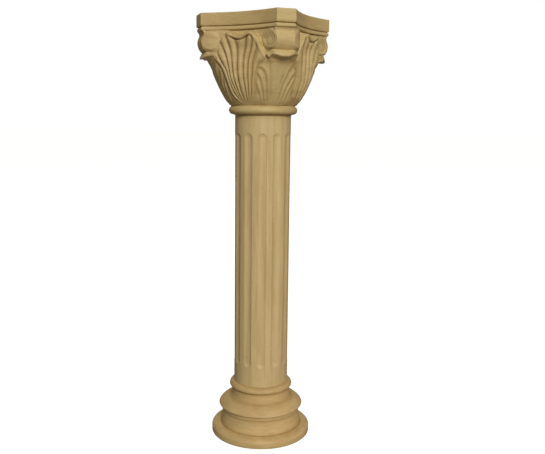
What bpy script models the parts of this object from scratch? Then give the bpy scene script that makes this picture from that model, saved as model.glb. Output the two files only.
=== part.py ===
"""A carved marble column in three stones: turned base, fluted shaft and leaf capital.

Metres, +Z up. The origin is the centre of the underside. A face of the abacus looks along -Y.
"""

import math

import bmesh
import bpy

# Heights of the joints between the stones, and of the whole column
COLUMN_HEIGHT = 2.000
SHAFT_FOOT = 0.260
CAPITAL_FOOT = 1.553
JOINT_GAP = 0.0003

# Linear colours of the three stones, and their dull polish
BASE_COLOUR = (0.56, 0.44, 0.23)
SHAFT_COLOUR = (0.60, 0.49, 0.28)
CAPITAL_COLOUR = (0.60, 0.48, 0.26)
ROUGHNESS = 0.45

# Shaft: a straight drum with shallow flutes that end in half rounds. Columns run across a flute as
# shares of its half width, and rows rise from its end.
SHAFT_RADIUS = 0.1315
FLUTES = 12
FLUTE_HALF_WIDTH = 0.0206
FLUTE_DEPTH = 0.0065
FLUTE_FOOT = 0.357
FLUTE_HEAD = 1.474
FLUTE_TURN = -3.0
FLUTE_COLUMNS = (-1.0, -0.55, 0.0, 0.55, 1.0)
FLUTE_END_ROWS = (0.0004, 0.003, 0.010, FLUTE_HALF_WIDTH)
SHAFT_SHARP_DEGREES = 12.0

# Base, from the floor up
PLINTH_RADIUS = 0.2417
PLINTH_EDGE = 0.025
PLINTH_CHAMFER = 0.002
SHOULDER_TOP = 0.0435
SHOULDER_RADIUS = 0.199
SHOULDER_BULGE = ((0.45, 0.82), (0.80, 0.46))
HOLLOW_TOP = 0.114
HOLLOW_RADIUS = 0.188
FILLET_RADIUS = 0.190
FILLET_FOOT = 0.116
TORUS_FOOT = 0.133
TORUS_FOOT_RADIUS = 0.2026
TORUS_BELLY = 0.138
TORUS_RADIUS = 0.2056
TORUS_TOP = 0.184
TORUS_SQUARENESS = 1.42
NECKING_RADIUS = 0.141
NECKING_FOOT = 0.187
NECKING_FOOT_RADIUS = 0.145
NECKING_STRAIGHT = 0.196
NECKING_HEAD = 0.228
RING_FOOT = 0.230
RING_FOOT_RADIUS = 0.1523
RING_BELLY = 0.236
RING_RADIUS = 0.1533
RING_ARC_STEPS = 4
TORUS_STEPS = 7
HOLLOW_STEPS = 4
TURNED_STEPS = 40

# Capital: neck ring, bell, corner scrolls and abacus
NECK_RING_RADIUS = 0.1605
NECK_RING_HEIGHT = 0.040
NECK_RING_CORE = 0.1410
BELL_FOOT = 1.597
SCROLL_FOOT = 1.834
ABACUS_FOOT = 1.919
BEAD_TOP = 1.940
BAND_FOOT = 1.945
ABACUS_CORNER = 0.308
ABACUS_CUT = 0.048
ABACUS_HOLLOW = 0.032
BEAD_INSET = 0.005
GROOVE_INSET = 0.010
SCROLL_HALF_WIDTH = 0.044
SCROLL_HOLLOW = 0.050

# The bell's radius at the middle of a face and at a corner, by height
FACE_PROFILE = (
    (1.597, 0.150), (1.612, 0.163), (1.631, 0.178), (1.655, 0.193), (1.678, 0.204),
    (1.718, 0.218), (1.763, 0.223), (1.810, 0.223), (1.844, 0.225), (1.864, 0.233),
    (1.881, 0.242),
)
CORNER_PROFILE = (
    (1.597, 0.154), (1.622, 0.169), (1.658, 0.190), (1.694, 0.209), (1.729, 0.226),
    (1.777, 0.250), (1.799, 0.264), (1.919, 0.290),
)
# Half angle, in degrees from the middle of the face and by height, of the field of ribs on a wide
# leaf, and of the raised rim round it
RIB_SPREAD = (
    (1.597, 3.4), (1.612, 7.4), (1.639, 13.5), (1.669, 16.6), (1.701, 18.4), (1.743, 19.6),
    (1.780, 21.7), (1.815, 24.3), (1.845, 27.6), (1.877, 29.0),
)
RIM_SPREAD = (
    (1.597, 4.0), (1.612, 8.0), (1.639, 14.5), (1.679, 18.8), (1.709, 20.0), (1.748, 21.5),
    (1.782, 25.5), (1.815, 30.5),
)
# Front face of a corner scroll, from the notch over the leaf up to the abacus
SCROLL_PROFILE = (
    (1.834, 0.283), (1.846, 0.295), (1.860, 0.302), (1.878, 0.3045), (1.893, 0.301),
    (1.905, 0.295), (1.919, 0.300),
)


def along(keys, height):
    """Value at a height on a smooth curve through (height, value) keys."""
    if height <= keys[0][0]:
        return keys[0][1]
    for index in range(len(keys) - 1):
        low, high = keys[index], keys[index + 1]
        if height <= high[0]:
            before = keys[max(index - 1, 0)]
            after = keys[min(index + 2, len(keys) - 1)]
            span = high[0] - low[0]
            share = (height - low[0]) / span
            rise_low = (high[1] - before[1]) / (high[0] - before[0]) * span
            rise_high = (after[1] - low[1]) / (after[0] - low[0]) * span
            two, three = share**2, share**3
            return (
                (2 * three - 3 * two + 1) * low[1]
                + (three - 2 * two + share) * rise_low
                + (3 * two - 2 * three) * high[1]
                + (three - two) * rise_high
            )
    return keys[-1][1]


def marble(name, colour, roughness):
    """Plain warm marble; each stone has its own tone."""
    material = bpy.data.materials.new(name)
    material.use_nodes = True
    shader = material.node_tree.nodes["Principled BSDF"]
    shader.inputs["Base Color"].default_value = (*colour, 1.0)
    shader.inputs["Roughness"].default_value = roughness
    shader.inputs["Metallic"].default_value = 0.0
    return material


def add_object(name, mesh, collection, material):
    thing = bpy.data.objects.new(name, mesh)
    collection.objects.link(thing)
    mesh.materials.append(material)
    return thing


def smooth_shaded(mesh, sharp_degrees):
    mesh.shade_smooth()
    mesh.set_sharp_from_angle(angle=math.radians(sharp_degrees))


def arc(centre, radii, start, end, steps):
    """Points of an ellipse's arc; angles in degrees from straight outward, upward positive."""
    points = []
    for index in range(steps + 1):
        angle = math.radians(start + (end - start) * index / steps)
        points.append((centre[0] + radii[0] * math.cos(angle), centre[1] + radii[1] * math.sin(angle)))
    return points


def base_outline():
    """Radius and height down the outside of the base."""
    top = SHAFT_FOOT - JOINT_GAP
    points = [(0.0, top)]
    ring_radii = (RING_RADIUS - SHAFT_RADIUS, top - RING_BELLY)
    points += arc((SHAFT_RADIUS, RING_BELLY), ring_radii, 90.0, 0.0, RING_ARC_STEPS)
    points += [
        (RING_FOOT_RADIUS, RING_FOOT),
        (NECKING_RADIUS, NECKING_HEAD),
        (NECKING_RADIUS, NECKING_STRAIGHT),
        (NECKING_FOOT_RADIUS, NECKING_FOOT),
    ]
    swell = TORUS_RADIUS - NECKING_RADIUS
    for index in range(1, TORUS_STEPS):
        share = 1.0 - index / TORUS_STEPS
        outward = (1.0 - share**TORUS_SQUARENESS) ** (1.0 / TORUS_SQUARENESS)
        height = TORUS_BELLY + (TORUS_TOP - TORUS_BELLY) * share
        points.append((NECKING_RADIUS + swell * outward, height))
    points += [(TORUS_RADIUS, TORUS_BELLY), (TORUS_FOOT_RADIUS, TORUS_FOOT)]
    points += [(FILLET_RADIUS, TORUS_FOOT), (FILLET_RADIUS, FILLET_FOOT)]
    for index in range(HOLLOW_STEPS + 1):
        share = index / HOLLOW_STEPS
        radius = HOLLOW_RADIUS + (SHOULDER_RADIUS - HOLLOW_RADIUS) * share**2
        points.append((radius, HOLLOW_TOP + (SHOULDER_TOP - HOLLOW_TOP) * share))
    for outward, upward in SHOULDER_BULGE:
        radius = SHOULDER_RADIUS + (PLINTH_RADIUS - SHOULDER_RADIUS) * outward
        points.append((radius, PLINTH_EDGE + (SHOULDER_TOP - PLINTH_EDGE) * upward))
    points += [
        (PLINTH_RADIUS, PLINTH_EDGE),
        (PLINTH_RADIUS, PLINTH_CHAMFER),
        (PLINTH_RADIUS - PLINTH_CHAMFER, 0.0),
        (0.0, 0.0),
    ]
    return points


def make_base(collection):
    """The outline turned about the axis."""
    outline = base_outline()
    mesh = bpy.data.meshes.new("base")
    vertices = [(radius, 0.0, height) for radius, height in outline]
    edges = [(index, index + 1) for index in range(len(outline) - 1)]
    mesh.from_pydata(vertices, edges, [])
    base = add_object("base", mesh, collection, marble("base_marble", BASE_COLOUR, ROUGHNESS))
    screw = base.modifiers.new("turned", "SCREW")
    screw.angle = math.tau
    screw.steps = TURNED_STEPS
    screw.render_steps = TURNED_STEPS
    screw.use_merge_vertices = True
    screw.merge_threshold = 0.0001
    screw.use_smooth_shade = True
    return base


def loft(name, rings):
    """A closed solid through rings with the same number of points, flat at both ends."""
    shape = bmesh.new()
    rows = [[shape.verts.new(point) for point in ring] for ring in rings]
    count = len(rows[0])
    for low, high in zip(rows, rows[1:]):
        for index in range(count):
            following = (index + 1) % count
            shape.faces.new((low[index], low[following], high[following], high[index]))
    shape.faces.new(list(reversed(rows[0])))
    shape.faces.new(rows[-1])
    bmesh.ops.triangulate(shape, faces=[face for face in shape.faces if len(face.verts) > 4])
    bmesh.ops.recalc_face_normals(shape, faces=shape.faces)
    mesh = bpy.data.meshes.new(name)
    shape.to_mesh(mesh)
    shape.free()
    return mesh


def turned_point(degrees, radius, height):
    """Point at an angle from -Y, turning toward +X."""
    angle = math.radians(degrees)
    return (radius * math.sin(angle), -radius * math.cos(angle), height)


def flute_width(height):
    """The flute's width at a height as a share of its full width: half rounds at the ends."""
    from_end = min(height - FLUTE_FOOT, FLUTE_HEAD - height)
    beyond = min(1.0, max(0.0, 1.0 - from_end / FLUTE_HALF_WIDTH))
    return math.sqrt(1.0 - beyond**2)


def shaft_ring(height):
    """One ring of the shaft: for each flute its five columns, then the middle of the flat."""
    width = flute_width(height)
    half_angle = math.degrees(FLUTE_HALF_WIDTH / SHAFT_RADIUS)
    spread = width if width > 0.0 else 1.0
    ring = []
    for flute in range(FLUTES):
        middle = FLUTE_TURN + 360.0 / FLUTES * flute
        for column in FLUTE_COLUMNS:
            depth = FLUTE_DEPTH * (1.0 - column**2) * width**2
            ring.append(turned_point(middle + half_angle * column * spread, SHAFT_RADIUS - depth, height))
        ring.append(turned_point(middle + 180.0 / FLUTES, SHAFT_RADIUS, height))
    return ring


def make_shaft(collection):
    foot, head = SHAFT_FOOT, CAPITAL_FOOT - JOINT_GAP
    heights = [foot]
    heights += [FLUTE_FOOT + rise for rise in FLUTE_END_ROWS]
    heights += [FLUTE_HEAD - rise for rise in reversed(FLUTE_END_ROWS)]
    heights.append(head)
    mesh = loft("shaft", [shaft_ring(height) for height in heights])
    smooth_shaded(mesh, SHAFT_SHARP_DEGREES)
    stone = marble("shaft_marble", SHAFT_COLOUR, ROUGHNESS)
    return add_object("shaft", mesh, collection, stone)


def abacus_point(across, corner_share, inset, height):
    """Point on the abacus outline: across a concave side, or along the cut corner."""
    reach = (ABACUS_CORNER + ABACUS_CUT) / math.sqrt(2)
    half_side = (ABACUS_CORNER - ABACUS_CUT) / math.sqrt(2)
    if corner_share is None:
        depth = reach - ABACUS_HOLLOW * (1.0 - (across / half_side) ** 2) - inset
        return across * (1.0 - inset / reach), depth, height
    diagonal = ABACUS_CORNER - inset
    beside = ABACUS_CUT * (1.0 - inset / ABACUS_CORNER) * (1.0 - corner_share)
    return (diagonal - beside) / math.sqrt(2), (diagonal + beside) / math.sqrt(2), height


# Columns from the middle of a face to its corner. The first seven cross the wide leaf: ribs at
# even places, grooves at odd ones and the rim last, as shares of the half angles above.
LEAF_COLUMNS = 7
LEAF_SHARES = (0.0, 0.19, 0.35, 0.51, 0.645, 0.79, 1.0)
LEAF_RELIEF = (0.002, -0.005, 0.003, -0.005, 0.003, -0.004, 0.004)
LEAF_TOPS = (1.882, 1.886, 1.897, 1.903, 1.884, 1.846, 1.818)
LEAF_EDGE_DROP = 0.006
# The next seven cross half a corner leaf: recess, two lobes with grooves beside them, midrib. As
# shares of the way from the rim to the corner, at the leaf's foot and under its tip.
LOBE_SHARES_FOOT = (0.25, 0.42, 0.56, 0.68, 0.79, 0.90, 1.0)
LOBE_SHARES_TOP = (0.06, 0.20, 0.36, 0.50, 0.64, 0.80, 1.0)
LOBE_RELIEF = (-0.003, 0.005, -0.003, 0.005, -0.003, 0.003, 0.003)
RELIEF_FADE = 0.030
# The same columns on the turned-out tip: distance beside the diagonal, reach along it, how much
# it leans out going down, and how far its scalloped edge hangs
TIP_BESIDE = (0.083, 0.074, 0.064, 0.054, 0.042, 0.024, 0.0)
TIP_REACH = (0.240, 0.249, 0.257, 0.282, 0.293, 0.300, 0.302)
TIP_LEAN = (0.0, 0.1, 0.2, 0.6, 0.6, 0.6, 0.6)
TIP_SCALLOPS = (0.010, 0.004, 0.006, 0.008, 0.004, -0.001, -0.003)
# Above the tip the last three columns are the front of the scroll and the four before them cross
# the block's hollow side, as shares of its half width
SCROLL_COLUMNS = 3
SIDE_SHARES = (0.80, 0.86, 0.92, 0.97)
COLUMNS = LEAF_COLUMNS + len(SIDE_SHARES) + SCROLL_COLUMNS
NECK_RING_STEPS = 4
BELL_ROWS = (1.597, 1.606, 1.620, 1.641, 1.668, 1.697, 1.727, 1.756, 1.782, 1.797)
TIP_ROW = 1.805
UPPER_ROWS = (1.819, 1.834, 1.856, 1.873, 1.890)
EDGE_ROWS = (1.902, 1.909)
CAPITAL_SHARP_DEGREES = 30.0


def bell_radius(degrees, height):
    """Round at the foot, squarer toward the top."""
    squareness = (1.0 - math.cos(math.radians(4.0 * degrees))) / 2.0
    face, corner = along(FACE_PROFILE, height), along(CORNER_PROFILE, height)
    return face + (corner - face) * squareness


def side_point(across, height):
    """Point on the hollow side of the block behind the leaves, between two scrolls."""
    front = along(SCROLL_PROFILE, height)
    reach = (front + SCROLL_HALF_WIDTH) / math.sqrt(2)
    half_side = (front - SCROLL_HALF_WIDTH) / math.sqrt(2)
    depth = reach - SCROLL_HOLLOW * (1.0 - min(1.0, across / half_side) ** 2)
    return across, depth, height


def from_polar(degrees, radius, height):
    angle = math.radians(degrees)
    return radius * math.sin(angle), radius * math.cos(angle), height


def leaf_point(column, height):
    """On the wide leaf: its ribs and grooves, or its rim."""
    spread = RIM_SPREAD if column == LEAF_COLUMNS - 1 else RIB_SPREAD
    degrees = along(spread, height) * LEAF_SHARES[column]
    fade = min(1.0, (height - BELL_FOOT) / RELIEF_FADE)
    return from_polar(degrees, bell_radius(degrees, height) + LEAF_RELIEF[column] * fade, height)


def lobe_point(place, height):
    """On the corner leaf below its tip, whose lobes fan outward from the foot of the midrib."""
    rise = (height - BELL_FOOT) / (TIP_ROW - BELL_FOOT)
    share = LOBE_SHARES_FOOT[place] + (LOBE_SHARES_TOP[place] - LOBE_SHARES_FOOT[place]) * rise
    rim = along(RIM_SPREAD, height)
    degrees = rim + (45.0 - rim) * share
    fade = min(1.0, (height - BELL_FOOT) / RELIEF_FADE)
    return from_polar(degrees, bell_radius(degrees, height) + LOBE_RELIEF[place] * fade, height)


def beside_diagonal(diagonal, beside, height):
    """Point given by its reach along the corner's diagonal and its distance beside it."""
    return (diagonal - beside) / math.sqrt(2), (diagonal + beside) / math.sqrt(2), height


def tip_point(place, height, hang):
    """On the turned-out tip of the corner leaf."""
    reach = TIP_REACH[place] - TIP_LEAN[place] * (height - TIP_ROW)
    return beside_diagonal(reach, TIP_BESIDE[place], height + TIP_SCALLOPS[place] * hang)


def scroll_row(heights):
    """From beside the leaf to the corner, above the tip; heights at the leaf and at the scroll."""
    row = []
    steps = len(SIDE_SHARES) + 1
    for index, share in enumerate(SIDE_SHARES):
        height = heights[0] + (heights[1] - heights[0]) * (index + 1) / steps
        half_side = (along(SCROLL_PROFILE, height) - SCROLL_HALF_WIDTH) / math.sqrt(2)
        row.append(side_point(share * half_side, height))
    front = along(SCROLL_PROFILE, heights[1])
    for index in range(SCROLL_COLUMNS):
        beside = SCROLL_HALF_WIDTH * (1.0 - index / (SCROLL_COLUMNS - 1))
        row.append(beside_diagonal(front, beside, heights[1]))
    return row


def neck_ring_rows():
    """The half-round ring under the leaves."""
    rows = []
    rise = NECK_RING_HEIGHT / 2
    for index in range(NECK_RING_STEPS + 1):
        angle = math.radians(-90.0 + 180.0 * index / NECK_RING_STEPS)
        radius = NECK_RING_CORE + (NECK_RING_RADIUS - NECK_RING_CORE) * math.cos(angle)
        height = CAPITAL_FOOT + rise + rise * math.sin(angle)
        turns = [45.0 * column / (COLUMNS - 1) for column in range(COLUMNS)]
        rows.append([from_polar(turn, radius, height) for turn in turns])
    return rows


def leaf_rows():
    """From the foot of the leaves to the abacus."""
    leaf = range(LEAF_COLUMNS)
    corner = range(COLUMNS - LEAF_COLUMNS)
    rows = []
    for height in BELL_ROWS:
        row = [leaf_point(column, height) for column in leaf]
        rows.append(row + [lobe_point(place, height) for place in corner])
    row = [leaf_point(column, TIP_ROW) for column in leaf]
    rows.append(row + [tip_point(place, TIP_ROW, 1.0) for place in corner])
    for height in UPPER_ROWS:
        stretch = (height - TIP_ROW) / (UPPER_ROWS[-1] - TIP_ROW)
        heights = [TIP_ROW + (top - TIP_ROW) * stretch for top in LEAF_TOPS]
        row = [leaf_point(column, heights[column]) for column in leaf]
        if height < SCROLL_FOOT:
            row += [tip_point(place, height, 0.5) for place in corner]
        else:
            row += scroll_row((heights[-1], height))
        rows.append(row)
    edge = [leaf_point(column, LEAF_TOPS[column]) for column in leaf]
    edge = [(x, depth - LEAF_EDGE_DROP, z + LEAF_EDGE_DROP) for x, depth, z in edge]
    rows.append(edge + scroll_row((edge[-1][2], EDGE_ROWS[0])))
    back = [side_point(x, z + LEAF_EDGE_DROP / 2) for x, depth, z in edge]
    rows.append(back + scroll_row((back[-1][2], EDGE_ROWS[1])))
    head = [side_point(x, ABACUS_FOOT) for x, depth, z in edge]
    rows.append(head + scroll_row((ABACUS_FOOT, ABACUS_FOOT)))
    return rows


def abacus_rows():
    """Bead, groove and band."""
    half_side = (ABACUS_CORNER - ABACUS_CUT) / math.sqrt(2)
    sides = COLUMNS - SCROLL_COLUMNS
    rows = []
    for inset, height in (
        (BEAD_INSET, ABACUS_FOOT), (BEAD_INSET, BEAD_TOP), (GROOVE_INSET, BEAD_TOP),
        (GROOVE_INSET, BAND_FOOT), (0.0, BAND_FOOT), (0.0, COLUMN_HEIGHT),
    ):
        shares = [column / sides for column in range(sides)]
        row = [abacus_point(share * half_side, None, inset, height) for share in shares]
        steps = SCROLL_COLUMNS - 1
        row += [abacus_point(0.0, place / steps, inset, height) for place in range(SCROLL_COLUMNS)]
        rows.append(row)
    return rows


def full_ring(half_row):
    """A half face mirrored, and the whole face turned to the four sides."""
    mirrored = [(-across, depth, height) for across, depth, height in reversed(half_row[1:-1])]
    face = mirrored + list(half_row)
    ring = []
    for side in range(4):
        turn = math.radians(90.0 * side)
        for across, depth, height in face:
            x = across * math.cos(turn) + depth * math.sin(turn)
            y = across * math.sin(turn) - depth * math.cos(turn)
            ring.append((x, y, height))
    return ring


def make_capital(collection):
    """Each row is a list of (across, depth, height) from the middle of a face to its corner."""
    rows = neck_ring_rows() + leaf_rows() + abacus_rows()
    mesh = loft("capital", [full_ring(row) for row in rows])
    smooth_shaded(mesh, CAPITAL_SHARP_DEGREES)
    stone = marble("capital_marble", CAPITAL_COLOUR, ROUGHNESS)
    return add_object("capital", mesh, collection, stone)


def main():
    for thing in list(bpy.data.objects):
        bpy.data.objects.remove(thing, do_unlink=True)
    column = bpy.data.collections.new("marble_column")
    bpy.context.scene.collection.children.link(column)
    make_base(column)
    make_shaft(column)
    make_capital(column)


main()
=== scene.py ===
"""Looks of the carved marble column: honed warm marble on a turned base, fluted shaft and leaf capital.

Metres, +Z up. A concave side of the abacus looks along -Y; angles run from -Y toward +X.
"""

import math

import bmesh
import bpy
import numpy as np
from mathutils import Matrix, Vector, noise


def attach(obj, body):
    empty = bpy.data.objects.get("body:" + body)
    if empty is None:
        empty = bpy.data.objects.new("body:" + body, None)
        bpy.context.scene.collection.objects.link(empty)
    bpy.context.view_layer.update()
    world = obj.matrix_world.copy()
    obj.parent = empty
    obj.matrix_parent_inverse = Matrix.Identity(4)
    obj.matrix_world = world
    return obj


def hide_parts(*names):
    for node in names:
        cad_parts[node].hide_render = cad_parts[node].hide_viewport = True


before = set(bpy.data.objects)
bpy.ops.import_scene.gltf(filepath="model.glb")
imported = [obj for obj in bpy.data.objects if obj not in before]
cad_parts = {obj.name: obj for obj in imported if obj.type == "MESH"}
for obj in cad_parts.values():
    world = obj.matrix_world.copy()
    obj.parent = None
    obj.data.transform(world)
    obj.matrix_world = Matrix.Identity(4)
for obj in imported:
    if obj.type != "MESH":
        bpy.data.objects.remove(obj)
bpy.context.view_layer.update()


# Camera: a standing viewer's eye in front of one corner of the abacus, looking slightly down
# with a normal lens. The photograph is 545 pixels wide.
PHOTO_WIDTH = 545.0
FOCAL_PIXELS = 686.3
AXIS_LEFT_OF_CENTRE_PIXELS = 10.45
VIEW_AZIMUTH = 27.0
VIEW_DISTANCE = 3.272
EYE_HEIGHT = 1.5457
LOOK_DOWN = 9.06
LEAN = 0.53
SENSOR_WIDTH = 36.0

camera_data = bpy.data.cameras.new("camera")
camera_data.sensor_width = SENSOR_WIDTH
camera_data.lens = FOCAL_PIXELS / PHOTO_WIDTH * SENSOR_WIDTH
camera_data.shift_x = AXIS_LEFT_OF_CENTRE_PIXELS / PHOTO_WIDTH
camera = bpy.data.objects.new("camera", camera_data)
bpy.context.scene.collection.objects.link(camera)
turn = math.radians(VIEW_AZIMUTH)
camera.matrix_world = (
    Matrix.Translation((VIEW_DISTANCE * math.sin(turn), -VIEW_DISTANCE * math.cos(turn), EYE_HEIGHT))
    @ Matrix.Rotation(turn, 4, "Z")
    @ Matrix.Rotation(math.radians(90.0 - LOOK_DOWN), 4, "X")
    @ Matrix.Rotation(math.radians(LEAN), 4, "Z")
)
bpy.context.scene.camera = camera


# Studio: a big soft lamp in front, a little to the right of the camera and above it, a second
# one behind for the far side, faint light from overhead, and a plain pale floor.
KEY_TURN = 38.0
KEY_RISE = 26.0
KEY_DISTANCE = 14.0
KEY_SIZE = 4.6
KEY_WATTS = 1320.0
BACK_RISE = 14.0
BACK_WATTS = 650.0
FILL_TURN = 72.0
FILL_RISE = -28.0
FILL_DISTANCE = 1.9
FILL_SIZE = 0.7
FILL_WATTS = 2.1
OVERHEAD_LIGHT = 0.30
HORIZON_LIGHT = 0.18
SKY_COLOUR = (1.0, 0.92, 0.78, 1.0)
FLOOR_HALF_SIDE = 60.0
FLOOR_COLOUR = (0.30, 0.30, 0.30)
FLOOR_GLOW = 0.93
AIM = Vector((0.0, 0.0, 1.1))


def soft_lamp(name, azimuth, rise, distance, size, watts):
    around, up = math.radians(azimuth), math.radians(rise)
    back = Vector((math.sin(around) * math.cos(up), -math.cos(around) * math.cos(up), math.sin(up)))
    data = bpy.data.lights.new(name, "AREA")
    data.shape = "DISK"
    data.size = size
    data.energy = watts
    lamp = bpy.data.objects.new(name, data)
    lamp.location = AIM + back * distance
    lamp.rotation_euler = back.to_track_quat("Z", "Y").to_euler()
    lamp.visible_camera = False
    bpy.context.scene.collection.objects.link(lamp)
    return lamp


soft_lamp("front_lamp", KEY_TURN, KEY_RISE, KEY_DISTANCE, KEY_SIZE, KEY_WATTS)
back_lamp = soft_lamp("back_lamp", KEY_TURN + 180.0, BACK_RISE, KEY_DISTANCE, KEY_SIZE, BACK_WATTS)
back_lamp.visible_glossy = False
low_lamp = soft_lamp("low_lamp", FILL_TURN, FILL_RISE, FILL_DISTANCE, FILL_SIZE, FILL_WATTS)
low_lamp.data.color = (1.0, 0.80, 0.50)

world = bpy.data.worlds.new("studio")
bpy.context.scene.world = world
world.use_nodes = True
sky = world.node_tree
sky.nodes.clear()
direction = sky.nodes.new("ShaderNodeTexCoord")
upward = sky.nodes.new("ShaderNodeSeparateXYZ")
sky.links.new(direction.outputs["Generated"], upward.inputs["Vector"])
brightness = sky.nodes.new("ShaderNodeMapRange")
brightness.inputs["From Min"].default_value = 0.0
brightness.inputs["From Max"].default_value = 1.0
brightness.inputs["To Min"].default_value = HORIZON_LIGHT
brightness.inputs["To Max"].default_value = OVERHEAD_LIGHT
sky.links.new(upward.outputs["Z"], brightness.inputs["Value"])
dim = sky.nodes.new("ShaderNodeBackground")
sky.links.new(brightness.outputs["Result"], dim.inputs["Strength"])
dim.inputs["Color"].default_value = SKY_COLOUR
white = sky.nodes.new("ShaderNodeBackground")
white.inputs["Color"].default_value = (1.0, 1.0, 1.0, 1.0)
seen = sky.nodes.new("ShaderNodeLightPath")
either = sky.nodes.new("ShaderNodeMixShader")
sky.links.new(seen.outputs["Is Camera Ray"], either.inputs["Fac"])
sky.links.new(dim.outputs["Background"], either.inputs[1])
sky.links.new(white.outputs["Background"], either.inputs[2])
output = sky.nodes.new("ShaderNodeOutputWorld")
sky.links.new(either.outputs["Shader"], output.inputs["Surface"])

floor_mesh = bpy.data.meshes.new("floor")
side = FLOOR_HALF_SIDE
floor_mesh.from_pydata(
    [(-side, -side, 0.0), (side, -side, 0.0), (side, side, 0.0), (-side, side, 0.0)], [], [(0, 1, 2, 3)]
)
floor = bpy.data.objects.new("floor", floor_mesh)
bpy.context.scene.collection.objects.link(floor)
floor.visible_diffuse = False
floor.visible_glossy = False
pale = bpy.data.materials.new("pale_floor")
pale.use_nodes = True
pale_shader = pale.node_tree.nodes["Principled BSDF"]
pale_shader.inputs["Base Color"].default_value = (*FLOOR_COLOUR, 1.0)
pale_shader.inputs["Roughness"].default_value = 1.0
pale_shader.inputs["Specular IOR Level"].default_value = 0.0
pale_shader.inputs["Emission Color"].default_value = (1.0, 1.0, 1.0, 1.0)
pale_shader.inputs["Emission Strength"].default_value = FLOOR_GLOW
floor_mesh.materials.append(pale)
bpy.context.scene.view_settings.view_transform = "Standard"


# Base: one stone turned on a lathe: plinth disc with a rounded shoulder, a hollow, a fillet, a
# cushion-like torus, a soft necking and a small ring that carries the shaft. Honed warm marble,
# a little yellower than the shaft, with level bedding streaks; darkened with grime and painted
# shade in its grooves, on its ring and under its torus.
BASE_COLOUR = (0.612, 0.442, 0.192)
BASE_HEIGHT = 0.2597
PLINTH_RADIUS = 0.2417
PLINTH_EDGE = 0.025
SHOULDER_TOP = 0.0460
SHOULDER_RADIUS = 0.1970
HOLLOW_TOP = 0.114
HOLLOW_RADIUS = 0.188
FILLET_RADIUS = 0.1925
FILLET_FOOT = 0.1155
TORUS_FOOT = 0.1352
TORUS_RADIUS = 0.2056
TORUS_BELLY = 0.142
TORUS_TOP = 0.184
TORUS_SQUARENESS = 1.42
NECKING_RADIUS = 0.141
RING_RADIUS = 0.1533
RING_BELLY = 0.2405
RING_FOOT = 0.2335
SHAFT_RADIUS = 0.1315
ARRIS = 0.0012
TURNED_STEPS = 240


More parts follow.
